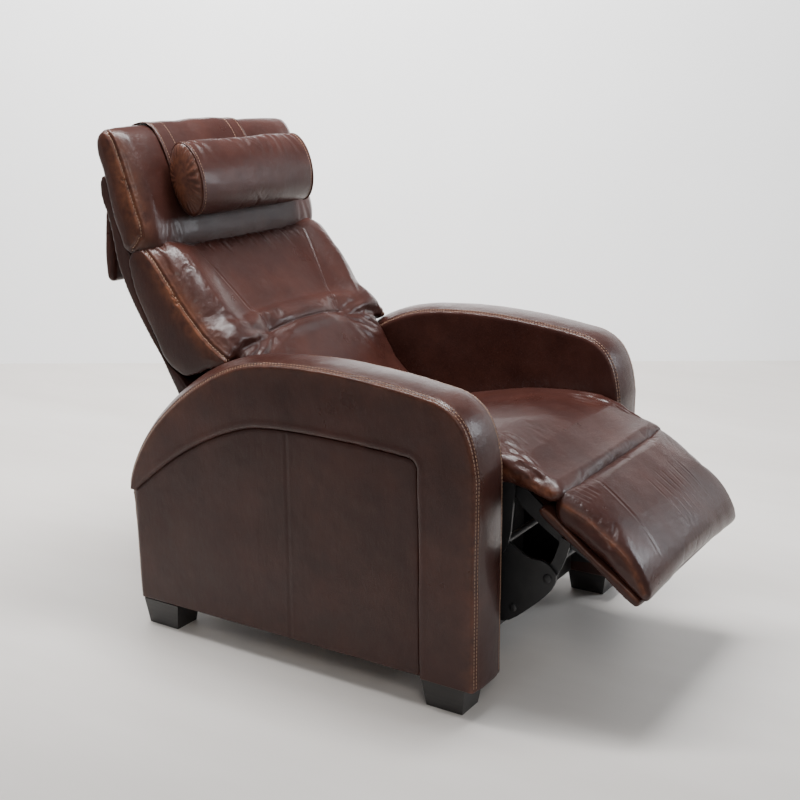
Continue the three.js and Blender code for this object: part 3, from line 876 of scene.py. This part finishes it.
def build_legrest():
    """The legrest's soft pad and the leather round the board that carries it."""
    pad = cushion("legrest_pad_soft", PAD_RING, BOARD_HALF, 18, crown=4, face=(-0.6, 0.8))
    remesh(pad, 4.5, 2)
    puff(pad, 8, pressure=2.0)
    apply(pad, "SUBSURF", levels=1)
    ripple(pad, 1.6, 110, seed=14)
    ripple(pad, 0.5, 34, stretch=(1.0, 0.2, 0.2), seed=33)
    pad_crease(pad, [(-148, -130), (-158, -200), (-170, -288)], 24, 0.9, 3.2, 0.3)
    for k, x in enumerate((-10, 16, 40, 62, 88, 116, 150)):
        first = -190 - 8 * math.sin(k * 2.1)
        pad_crease(pad, [(x, first), (x + 4 * math.sin(k), -240), (x + 6, -286)], 16, 0.6, 2.4, 0.2)
    for x in (-240, -226, -213, -200):
        line = [at(x + k * 1.6, -126 - k * 5, 500) for k in range(9)]
        crease(pad, cast(pad, line, DOWN), 1.2, 4.0, lip=0.6, fade="ends")
    edge = spline([(-124, 441), (-180, 415), (-218, 389), (-253, 363), (-280, 321), (-292, 298)], 40)
    for side in (-1, 1):
        path, _ = on_surface(pad, [at(side * 263, y, z - 7) for y, z in edge])
        d, _ = distance_to(coords(pad), path)
        wear(pad, 0.45 * falloff(d, 6.0))
        crease(pad, path, -1.4, 3.5)
    finish_piece(pad, LEATHER, "legrest", "leather", "legrest_pad", fill=0.85)
    board = cushion("legrest_board_wrap", BOARD_RING, BOARD_HALF, 3, count=160, stations=30)
    remesh(board, 3.6, 1)
    d, _ = distance_to(coords(board), [at(-266, -79, 423), at(-266, -285, 273)])
    wear(board, 0.4 * falloff(d, 4.5))
    finish_piece(board, LEATHER_PANEL, "legrest", "leather_side", "legrest_board", fill=1.0)


def back_pins(obj):
    """Where the back's cover is held: at its side walls, behind, and at the two tufts."""
    co, no = coords(obj), normals(obj)
    held = np.clip((np.abs(co[:, 0]) - 0.296) / 0.012, 0, 1)
    held = np.maximum(held, (no @ np.array(FACE) > 0.1).astype(float))
    for side in (-1, 1):
        d = np.linalg.norm(co - np.array(tuple(at(side * TUFT_X, 688, 652))), axis=1)
        held = np.maximum(held, (d < 0.02).astype(float))
    return held


def tuft_folds(obj, side):
    """The cover's folds: they spread out from the tuft, which holds it down."""
    for depth, width, line in (
            (4.5, 9, [(148, 688, 654), (190, 676, 668), (256, 664, 694)]),
            (6.0, 8, [(150, 684, 648), (195, 666, 644), (276, 650, 650)]),
            (6.0, 9, [(146, 680, 640), (185, 655, 612), (250, 628, 594)]),
            (4.5, 10, [(142, 678, 636), (165, 650, 602), (196, 604, 545)])):
        path = cast(obj, [at(side * x, y, z) for x, y, z in spline(line, 26)], FACE)
        crease(obj, path, depth * 0.45, width, lip=depth * 0.22, fade="ends")


def near_bolster(co):
    """1 in the middle of the side bolsters and falling to 0 at their edges."""
    return np.clip(1 - np.abs(np.abs(co[:, 0]) - 0.262) / 0.034, 0, 1)


def build_back():
    """The back cushion: two wings and a narrower waist, drawn in along the lumbar seam."""
    wings = boxed("wings", WING_MIDDLE, WING_EDGE, WING_HALF, WING_PROFILE)
    waist = cushion("waist", WAIST_RING, WAIST_HALF, 14, crown=4, face=(-0.8, 0.6))
    back = join("back_cushion_soft", wings, waist)
    remesh(back, 5.0, 4)
    for side in (-1, 1):
        pull_in(back, at(side * TUFT_X, TUFT_Y, TUFT_Z), FACE, 9, 26)
    across = np.linspace(-TUFT_X, TUFT_X, 40)
    lumbar = [at(x, TUFT_Y + 3 * math.cos(x / 60), TUFT_Z) for x in across]
    crease(back, cast(back, lumbar, FACE), 3, 10, lip=0)
    puff(back, 8, pressure=3, pins=back_pins(back), grow=0.015)
    apply(back, "SUBSURF", levels=1)
    swell_walls(back, WING_EDGE, WING_HALF, 4)
    ripple(back, 1.8, 150, seed=41)
    ripple(back, 0.6, 50, seed=43)
    ripple(back, 1.6, 26, stretch=(0.35, 1, 1), seed=47, mask=near_bolster)
    crease(back, cast(back, lumbar, FACE), 2.6, 3.5, lip=0)
    lip = [p + Vector((0, -0.010, -0.012)) for p in lumbar]
    crease(back, cast(back, lip, FACE), -2, 14)
    for side in (-1, 1):
        seam = spline([(200, 838, 834), (180, 790, 786), (156, 736, 722), (137, 694, 656)], 36)
        crease(back, cast(back, [at(side * x, y, z) for x, y, z in seam], FACE), 1.0, 2.6, lip=0.3)
        tuft_folds(back, side)
    for x, reach in ((-150, 30), (-96, 44), (-44, 30), (6, 40), (52, 60), (92, 46), (130, 62), (170, 40)):
        line = [at(x + k * 0.8, 860 - reach * k * 0.07, 838 - reach * k * 0.08) for k in range(10)]
        crease(back, cast(back, line, FACE), 1.8, 5.0, lip=0.8, fade="out")
    wall_seam(back, "back", WING_SEAM, WING_HALF, "back")
    finish_piece(back, LEATHER, "back", "leather", "back_cushion", fill=0.85)


def build_head():
    """The head cushion, with shallow upright folds at its sides."""
    head = boxed("head_cushion_soft", HEAD_MIDDLE, HEAD_EDGE, HEAD_HALF - 2, HEAD_PROFILE)
    remesh(head, 4.6, 3)
    apply(head, "SUBSURF", levels=1)
    swell_walls(head, HEAD_EDGE, HEAD_HALF - 2, 6)
    ripple(head, 2.2, 140, seed=51)
    ripple(head, 0.6, 45, seed=53)
    for x, lean in ((-262, 18), (-226, -6), (228, 8), (262, -16)):
        path = cast(head, [at(x + lean * k / 8, 900, 872 + 7 * k) for k in range(9)], (0, 1, 0))
        crease(head, path, 1.0, 6, lip=0.4, fade="out")
    wall_seam(head, "head", HEAD_SEAM, HEAD_HALF - 2, "back")
    finish_piece(head, LEATHER, "back", "leather", "head_cushion", fill=0.9)


def build_shell():
    """The leather over the rear of the back, with its two upright seams."""
    shell = cushion("back_shell_soft", SHELL_RING, WING_HALF - 3, 4, count=170, stations=34)
    remesh(shell, 4.5, 2)
    ripple(shell, 0.9, 90, seed=61)
    for x in (-120, 120):
        line = [at(x, 1010, z) for z in range(560, 1000, 10)]
        crease(shell, cast(shell, line, (0, -1, 0)), 1.6, 3.5, lip=0.6)
    finish_piece(shell, LEATHER_PANEL, "back", "leather_side", "back_shell", fill=0.95)


PILLOW_LEAN = math.radians(14)
PILLOW_X, PILLOW_Y, PILLOW_Z = -6.0, 834.0, 1002.0
PILLOW_RADII = (47, 87)              # half thickness and half height at the middle
PILLOW_RIM_RADII = (45.8, 84.7)      # the seam round each end
PILLOW_END_RADII = (0.0437, 0.0809)  # the flat of each end, in metres


def pillow_outline(radii, size, count):
    """An ellipse round the leaning pillow, as (y, z) points."""
    points = []
    for a in angles(count):
        p, q = radii[0] * size * math.cos(a), radii[1] * size * math.sin(a)
        points.append((PILLOW_Y + p * math.cos(PILLOW_LEAN) + q * math.sin(PILLOW_LEAN),
                       PILLOW_Z - p * math.sin(PILLOW_LEAN) + q * math.cos(PILLOW_LEAN)))
    return points


def pillow_rings():
    """Outlines along the bolster, nearly full size right up to its flat round ends."""
    rings = []
    for u in np.sin(np.linspace(-np.pi / 2, np.pi / 2, 54)):
        outline = pillow_outline(PILLOW_RADII, 1 - 0.07 * abs(u) ** 3, 60)
        rings.append([at(PILLOW_X + u * PILLOW_HALF, y, z) for y, z in outline])
    return rings


def gather_ends(obj):
    """Domes the round ends and gathers their leather into short folds from the seam."""
    co = coords(obj)
    centre = np.array(tuple(at(PILLOW_X, PILLOW_Y, PILLOW_Z)))
    out, y, z = (co - centre).T
    along = (y * math.cos(PILLOW_LEAN) - z * math.sin(PILLOW_LEAN)) / PILLOW_END_RADII[0]
    up = (y * math.sin(PILLOW_LEAN) + z * math.cos(PILLOW_LEAN)) / PILLOW_END_RADII[1]
    r = np.hypot(along, up)
    a = np.arctan2(up, along)
    end = np.abs(out) > (PILLOW_HALF - 5) / 1000.0
    dome = 13.0 * np.sqrt(np.clip(1 - r ** 2, 0, 1))
    folds = 1.5 * np.sin(26 * a + 2.0 * np.sin(3 * a)) * np.clip(r, 0, 1) ** 2 * np.clip((1 - r) * 6, 0, 1)
    co[:, 0] += np.where(end, np.sign(out) * (dome + folds) / 1000.0, 0)
    set_coords(obj, co)
    wear(obj, np.where(end, 0.15 + 0.3 * np.clip(1.1 - r, 0, 1), 0))


def build_pillow():
    """The neck pillow, a bolster with piped and stitched ends."""
    obj = loft("neck_pillow_soft", pillow_rings())
    remesh(obj, 4.2, 2)
    puff(obj, 5, pressure=2.0)
    apply(obj, "SUBSURF", levels=1)
    gather_ends(obj)
    ripple(obj, 1.6, 80, seed=71)
    for i, x in enumerate((-186, -168, -60, -22, 38, 74, 96, 150, 178)):
        line = [at(x + 2.5 * k * math.sin(i), 842, 1085 - 6 * k) for k in range(9)]
        crease(obj, cast(obj, line, (0, 1, 0)), 1.3, 6, lip=0.6, fade="out")
    for label, side in SIDES:
        rim = pillow_outline(PILLOW_RIM_RADII, 0.955, 90)
        ring = [at(PILLOW_X + side * (PILLOW_HALF - 1), y, z) for y, z in rim]
        finish_piece(piping(f"{label}_pillow_piping", ring, 1.8), LEATHER, "pillow", "leather")
        rim = pillow_outline(PILLOW_RIM_RADII, 1.0, 90)
        pts, nos = on_surface(obj, [at(PILLOW_X + side * (PILLOW_HALF - 9), y, z) for y, z in rim])
        thread = stitches(f"{label}_pillow_stitch", pts, nos, 4.5, 2.2, 0.5)
        finish_piece(thread, THREAD, "pillow", "leather")
    finish_piece(obj, LEATHER, "pillow", "leather", "neck_pillow", fill=0.9)


STRAP_POINTS = 60


def strip(name, line, half, thick, stations=40):
    """A flat strap that follows a side line and droops a little towards its sides."""
    pts = spline(line, STRAP_POINTS)
    under = inward_of(pts) * thick / 2
    ring = np.concatenate([pts - under, (pts + under)[::-1]])
    rings = []
    for x in np.linspace(-half, half, stations):
        wave = 1.2 * math.sin(x / 31.0) + 0.6 * math.sin(x / 13.0 + 1)
        sag = 3.0 * ((STRAP_MIDDLE + x) / 205.0) ** 2
        rings.append([at(STRAP_MIDDLE + x, y, z + wave - sag) for y, z in ring])
    return loft(name, rings)


STRAP_FRONT = [
    (868, 992), (880, 1012), (888, 1030), (899, 1058), (912, 1082), (927, 1104), (946, 1120), (969, 1123),
]
STRAP_REAR = [(969, 1123), (992, 1117), (1012, 1102), (1034, 1060), (1060, 1000), (1084, 930)]
STRAP_SEAMS = (-144, -108, 108, 144)
# Each sheet's name, side line and far body, and where its bend between the bodies starts and ends.
STRAP_SHEETS = (
    ("strap_front", STRAP_FRONT, "pillow", (960, 1121), (880, 1012)),
    ("strap_rear", STRAP_REAR, "counterweight", (980, 1120), (1060, 1000)),
)


def build_strap():
    """The leather sheet over the top of the back, from the pillow to its counterweight."""
    for name, line, body, first, last in STRAP_SHEETS:
        sheet = strip(f"{name}_soft", line, STRAP_HALF, 2.4)
        rows = []
        for row, x in enumerate(STRAP_SEAMS):
            pts, nos = on_surface(sheet, [at(STRAP_MIDDLE + x, y, z + 6) for y, z in spline(line, 90)])
            rows.append(stitches(f"{name}_stitch_{row + 1}", pts, nos, 4.5, 2.2, 0.5))
        finish_piece(sheet, LEATHER, None, "leather", name)
        for thread in rows:
            finish_piece(thread, THREAD, None, "leather")
        for obj in (sheet, *rows):
            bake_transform(obj)


def build_pouch():
    """The weighted pouch behind the back that balances the pillow."""
    pouch = cushion("counterweight_soft", POUCH_RING, STRAP_HALF, 10, stations=30)
    co = coords(pouch)
    co[:, 0] += STRAP_MIDDLE / 1000.0
    set_coords(pouch, co)
    remesh(pouch, 4, 2)
    ripple(pouch, 2.0, 80, seed=81)
    finish_piece(pouch, LEATHER, "counterweight", "leather", "counterweight_pouch", fill=0.8)


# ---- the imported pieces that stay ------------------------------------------
def dress_nodes():
    """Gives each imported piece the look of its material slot."""
    looks = {
        "wood": PLYWOOD, "black_wood": FOOT_WOOD, "black_steel": BLACK_STEEL, "bright_steel": BRIGHT_STEEL,
        "black_plastic": BLACK_PLASTIC, "grey_plastic": GREY_PLASTIC, "lining": LINING,
        "leather": LEATHER, "leather_side": LEATHER_PANEL,
    }
    for part in frame["record"]["subparts"]:
        node = NODES[part["node"]]
        node.data.materials.clear()
        node.data.materials.append(looks[part["material_slot"]])


LINK_PIVOTS = ((-84, 268, 9.5), (-10, 190, 8.5))       # y, z and head radius
RIVET_PROFILE = ((-1.0, 1.0), (1.6, 1.0), (2.8, 0.85), (3.6, 0.55), (3.9, 0.15))


def build_rivets():
    """The domed pivot heads on the outer faces of the front links."""
    for label, side in SIDES:
        low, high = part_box(f"{label}_front_link")
        face = side * max(abs(low[0]), abs(high[0])) * 1000.0
        for row, (y, z, radius) in enumerate(LINK_PIVOTS):
            rings = []
            for reach, size in RIVET_PROFILE:
                rings.append([at(face + side * reach, y + radius * size * math.cos(a),
                                 z + radius * size * math.sin(a)) for a in angles(24)])
            head = loft(f"{label}_link_rivet_{row + 1}", rings)
            finish_piece(head, BLACK_STEEL, "front_links", "black_steel")


# ---- floor, light and camera ----------------------------------------------
CAMERA_PLACE = Vector((-2.351, -1.481, 1.254))
CAMERA_YAW = math.radians(57.717)
CAMERA_PITCH = math.radians(-15.028)
CAMERA_ROLL = math.radians(-0.218)
CAMERA_LENS = 56.89
WALL_DISTANCE = 5.3            # metres from the camera
WALL_HEIGHT = 1.8
VIEW_WAY = Vector((math.sin(CAMERA_YAW), math.cos(CAMERA_YAW), 0))


def backdrop(name, corners, rough, darker, lighter, scale, detail, stretch):
    """A flat surface under or behind the chair, clouded between two near shades."""
    obj = mesh_object(name, corners, [(0, 1, 2, 3)], smooth=False)
    n = Nodes(name)
    tone = n.ramp(n.noise(scale, detail, 0.6, n.scaled(*stretch)), "Fac", [(0.3, darker), (0.7, lighter)])
    n.link(tone, "Color", n.shader, "Base Color")
    set_inputs(n.shader, Roughness=rough)
    obj.data.materials.append(n.material)
    return obj


def stage():
    """A pale floor, a low wall that the camera sees behind the chair, and soft light all round."""
    far, half = 30.0, 7.0
    backdrop("floor", [(-far, -far, 0), (far, -far, 0), (far, far, 0), (-far, far, 0)],
             0.55, (0.66, 0.615, 0.575), (0.74, 0.70, 0.66), 3.0, 4.0, (1.0, 0.25, 1.0))
    wall = backdrop("wall", [(-half, 0, 0), (half, 0, 0), (half, 0, WALL_HEIGHT), (-half, 0, WALL_HEIGHT)],
                    0.8, (0.90, 0.90, 0.90), (0.94, 0.94, 0.94), 1.2, 3.0, (1.0, 1.0, 1.0))
    foot = CAMERA_PLACE + VIEW_WAY * WALL_DISTANCE + Vector((0, 0, -CAMERA_PLACE.z))
    wall.matrix_world = Matrix.Translation(foot) @ Matrix.Rotation(-CAMERA_YAW, 4, "Z")
    world = bpy.data.worlds.new("studio")
    bpy.context.scene.world = world
    world.use_nodes = True
    back = world.node_tree.nodes["Background"]
    set_inputs(back, Color=(0.90, 0.93, 0.97, 1), Strength=0.32)


def area(name, place, target, size, power, colour):
    """A rectangular lamp; size in metres, power in watts."""
    lamp = bpy.data.lights.new(name, "AREA")
    lamp.shape = "RECTANGLE"
    lamp.size, lamp.size_y = size
    lamp.energy = power
    lamp.color = colour
    obj = bpy.data.objects.new(name, lamp)
    obj.location = place
    way = Vector(target) - Vector(place)
    obj.rotation_euler = way.to_track_quat("-Z", "Y").to_euler()
    bpy.context.scene.collection.objects.link(obj)


def camera():
    data = bpy.data.cameras.new("camera")
    data.sensor_width = 36.0
    data.lens = CAMERA_LENS
    obj = bpy.data.objects.new("camera", data)
    turn = (Matrix.Rotation(-CAMERA_YAW, 4, "Z") @ Matrix.Rotation(math.pi / 2 + CAMERA_PITCH, 4, "X")
            @ Matrix.Rotation(CAMERA_ROLL, 4, "Z"))
    obj.matrix_world = Matrix.Translation(CAMERA_PLACE) @ turn
    bpy.context.scene.collection.objects.link(obj)
    bpy.context.scene.camera = obj


dress_nodes()
for arm_label, arm_side in SIDES:
    build_arm(arm_label, arm_side)
build_seat()
build_legrest()
build_back()
build_head()
build_shell()
build_pillow()
build_strap()
build_pouch()
build_rivets()
stage()
area("overhead", (0.1, -0.5, 2.9), (0, -0.05, 0.4), (0.6, 0.6), 30, (0.93, 0.97, 1.0))
area("front_window", (2.3, -2.7, 1.7), (0, 0, 0.7), (0.8, 1.1), 44, (0.88, 0.94, 1.0))
area("key", (-2.8, -2.4, 2.9), (0, 0, 0.5), (1.2, 1.0), 32, (1.0, 0.96, 0.91))
area("wall_wash", (-0.2, 0.6, 3.2), (2.1, 2.0, 1.2), (3.0, 0.8), 320, (1.0, 1.0, 1.0))
camera()
